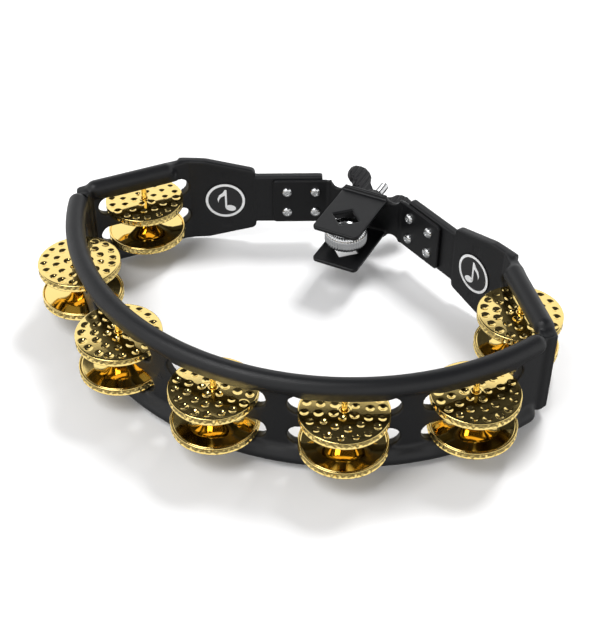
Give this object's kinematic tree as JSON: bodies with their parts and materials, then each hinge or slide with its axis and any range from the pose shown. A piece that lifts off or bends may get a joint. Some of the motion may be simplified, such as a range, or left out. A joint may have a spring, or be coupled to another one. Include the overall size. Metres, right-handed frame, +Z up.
{
  "type": "mountable tambourine",
  "caption": "Mountable tambourine: a ring-shaped black frame with two rows of hammered brass jingle pairs on upright pins and a rear steel clamp with eyebolt and wing nut for an upright rod.",
  "frame": {"origin": "axis of the clamped rod at the middle of the frame height", "axes": "+Z up along the rod, +Y back toward the wing nut, +X right across the frame"},
  "size_m": [0.323, 0.2625, 0.065],
  "materials": {
    "black_plastic": "fine grained matte black moulding",
    "black_steel": "satin black powder coat on pressed steel",
    "black_nylon": "ribbed black nylon",
    "badge_print": "black disc with a printed white ring",
    "zinc": "bright zinc plate",
    "pin_brass": "plain brass rod",
    "hammered_brass": "polished brass with round hammered dimples",
    "smooth_brass": "mirror polished brass"
  },
  "bodies": {
    "frame_body": {"frame": "black_plastic", "jingle_pins": "pin_brass", "badge_left": "badge_print", "badge_right": "badge_print", "bracket": "black_steel", "bracket_screws": "zinc", "bracket_nuts": "zinc", "washer": "zinc"},
    "eyebolt_body": {"eyebolt": "zinc"},
    "wing_nut_body": {"wing_nut": "black_nylon"},
    "jingle_1_upper_inner": {"inner_1_upper": "smooth_brass"},
    "jingle_1_upper_cap": {"cap_1_upper": "hammered_brass"},
    "jingle_2_upper_inner": {"inner_2_upper": "smooth_brass"},
    "jingle_2_upper_cap": {"cap_2_upper": "hammered_brass"},
    "jingle_3_upper_inner": {"inner_3_upper": "smooth_brass"},
    "jingle_3_upper_cap": {"cap_3_upper": "hammered_brass"},
    "jingle_4_upper_inner": {"inner_4_upper": "smooth_brass"},
    "jingle_4_upper_cap": {"cap_4_upper": "hammered_brass"},
    "jingle_5_upper_inner": {"inner_5_upper": "smooth_brass"},
    "jingle_5_upper_cap": {"cap_5_upper": "hammered_brass"},
    "jingle_6_upper_inner": {"inner_6_upper": "smooth_brass"},
    "jingle_6_upper_cap": {"cap_6_upper": "hammered_brass"},
    "jingle_7_upper_inner": {"inner_7_upper": "smooth_brass"},
    "jingle_7_upper_cap": {"cap_7_upper": "hammered_brass"},
    "jingle_1_lower_inner": {"inner_1_lower": "smooth_brass"},
    "jingle_1_lower_cap": {"cap_1_lower": "hammered_brass"},
    "jingle_2_lower_inner": {"inner_2_lower": "smooth_brass"},
    "jingle_2_lower_cap": {"cap_2_lower": "hammered_brass"},
    "jingle_3_lower_inner": {"inner_3_lower": "smooth_brass"},
    "jingle_3_lower_cap": {"cap_3_lower": "hammered_brass"},
    "jingle_4_lower_inner": {"inner_4_lower": "smooth_brass"},
    "jingle_4_lower_cap": {"cap_4_lower": "hammered_brass"},
    "jingle_5_lower_inner": {"inner_5_lower": "smooth_brass"},
    "jingle_5_lower_cap": {"cap_5_lower": "hammered_brass"},
    "jingle_6_lower_inner": {"inner_6_lower": "smooth_brass"},
    "jingle_6_lower_cap": {"cap_6_lower": "hammered_brass"},
    "jingle_7_lower_inner": {"inner_7_lower": "smooth_brass"},
    "jingle_7_lower_cap": {"cap_7_lower": "hammered_brass"}
  },
  "joints": [
    {"name": "wing_nut_turn", "type": "hinge", "parent": "frame_body", "child": "wing_nut_body", "pos_m": [0, 0.04, 0], "axis": [0, -1, 0], "range_deg": [-1175, 995]},
    {"name": "eyebolt_draw", "type": "slide", "parent": "frame_body", "child": "eyebolt_body", "axis": [0, 1, 0], "range_m": [-0.00325, 0.00275]},
    {"name": "rattle_1_upper", "type": "slide", "parent": "frame_body", "child": "jingle_1_upper_inner", "axis": [0, 0, 1], "range_m": [0, 0.0074]},
    {"name": "spin_1_upper", "type": "hinge", "parent": "jingle_1_upper_inner", "child": "jingle_1_upper_cap", "pos_m": [-0.13051, -0.03572, 0.0075], "axis": [0, 0, 1], "continuous": true},
    {"name": "rattle_2_upper", "type": "slide", "parent": "frame_body", "child": "jingle_2_upper_inner", "axis": [0, 0, 1], "range_m": [0, 0.0074]},
    {"name": "spin_2_upper", "type": "hinge", "parent": "jingle_2_upper_inner", "child": "jingle_2_upper_cap", "pos_m": [-0.13098, -0.11099, 0.0075], "axis": [0, 0, 1], "continuous": true},
    {"name": "rattle_3_upper", "type": "slide", "parent": "frame_body", "child": "jingle_3_upper_inner", "axis": [0, 0, 1], "range_m": [0, 0.0074]},
    {"name": "spin_3_upper", "type": "hinge", "parent": "jingle_3_upper_inner", "child": "jingle_3_upper_cap", "pos_m": [-0.07244, -0.15664, 0.0075], "axis": [0, 0, 1], "continuous": true},
    {"name": "rattle_4_upper", "type": "slide", "parent": "frame_body", "child": "jingle_4_upper_inner", "axis": [0, 0, 1], "range_m": [0, 0.0074]},
    {"name": "spin_4_upper", "type": "hinge", "parent": "jingle_4_upper_inner", "child": "jingle_4_upper_cap", "pos_m": [0, -0.1729, 0.0075], "axis": [0, 0, 1], "continuous": true},
    {"name": "rattle_5_upper", "type": "slide", "parent": "frame_body", "child": "jingle_5_upper_inner", "axis": [0, 0, 1], "range_m": [0, 0.0074]},
    {"name": "spin_5_upper", "type": "hinge", "parent": "jingle_5_upper_inner", "child": "jingle_5_upper_cap", "pos_m": [0.07244, -0.15664, 0.0075], "axis": [0, 0, 1], "continuous": true},
    {"name": "rattle_6_upper", "type": "slide", "parent": "frame_body", "child": "jingle_6_upper_inner", "axis": [0, 0, 1], "range_m": [0, 0.0074]},
    {"name": "spin_6_upper", "type": "hinge", "parent": "jingle_6_upper_inner", "child": "jingle_6_upper_cap", "pos_m": [0.13098, -0.11099, 0.0075], "axis": [0, 0, 1], "continuous": true},
    {"name": "rattle_7_upper", "type": "slide", "parent": "frame_body", "child": "jingle_7_upper_inner", "axis": [0, 0, 1], "range_m": [0, 0.0074]},
    {"name": "spin_7_upper", "type": "hinge", "parent": "jingle_7_upper_inner", "child": "jingle_7_upper_cap", "pos_m": [0.13051, -0.03572, 0.0075], "axis": [0, 0, 1], "continuous": true},
    {"name": "rattle_1_lower", "type": "slide", "parent": "frame_body", "child": "jingle_1_lower_inner", "axis": [0, 0, 1], "range_m": [0, 0.0025]},
    {"name": "spin_1_lower", "type": "hinge", "parent": "jingle_1_lower_inner", "child": "jingle_1_lower_cap", "pos_m": [-0.13051, -0.03572, -0.015], "axis": [0, 0, 1], "continuous": true},
    {"name": "rattle_2_lower", "type": "slide", "parent": "frame_body", "child": "jingle_2_lower_inner", "axis": [0, 0, 1], "range_m": [0, 0.0025]},
    {"name": "spin_2_lower", "type": "hinge", "parent": "jingle_2_lower_inner", "child": "jingle_2_lower_cap", "pos_m": [-0.13098, -0.11099, -0.015], "axis": [0, 0, 1], "continuous": true},
    {"name": "rattle_3_lower", "type": "slide", "parent": "frame_body", "child": "jingle_3_lower_inner", "axis": [0, 0, 1], "range_m": [0, 0.0025]},
    {"name": "spin_3_lower", "type": "hinge", "parent": "jingle_3_lower_inner", "child": "jingle_3_lower_cap", "pos_m": [-0.07244, -0.15664, -0.015], "axis": [0, 0, 1], "continuous": true},
    {"name": "rattle_4_lower", "type": "slide", "parent": "frame_body", "child": "jingle_4_lower_inner", "axis": [0, 0, 1], "range_m": [0, 0.0025]},
    {"name": "spin_4_lower", "type": "hinge", "parent": "jingle_4_lower_inner", "child": "jingle_4_lower_cap", "pos_m": [0, -0.1729, -0.015], "axis": [0, 0, 1], "continuous": true},
    {"name": "rattle_5_lower", "type": "slide", "parent": "frame_body", "child": "jingle_5_lower_inner", "axis": [0, 0, 1], "range_m": [0, 0.0025]},
    {"name": "spin_5_lower", "type": "hinge", "parent": "jingle_5_lower_inner", "child": "jingle_5_lower_cap", "pos_m": [0.07244, -0.15664, -0.015], "axis": [0, 0, 1], "continuous": true},
    {"name": "rattle_6_lower", "type": "slide", "parent": "frame_body", "child": "jingle_6_lower_inner", "axis": [0, 0, 1], "range_m": [0, 0.0025]},
    {"name": "spin_6_lower", "type": "hinge", "parent": "jingle_6_lower_inner", "child": "jingle_6_lower_cap", "pos_m": [0.13098, -0.11099, -0.015], "axis": [0, 0, 1], "continuous": true},
    {"name": "rattle_7_lower", "type": "slide", "parent": "frame_body", "child": "jingle_7_lower_inner", "axis": [0, 0, 1], "range_m": [0, 0.0025]},
    {"name": "spin_7_lower", "type": "hinge", "parent": "jingle_7_lower_inner", "child": "jingle_7_lower_cap", "pos_m": [0.13051, -0.03572, -0.015], "axis": [0, 0, 1], "continuous": true}
  ],
  "couplings": [
    {"joint": "wing_nut_turn", "follows": "eyebolt_draw", "rad_per_m": 6283.2}
  ]
}
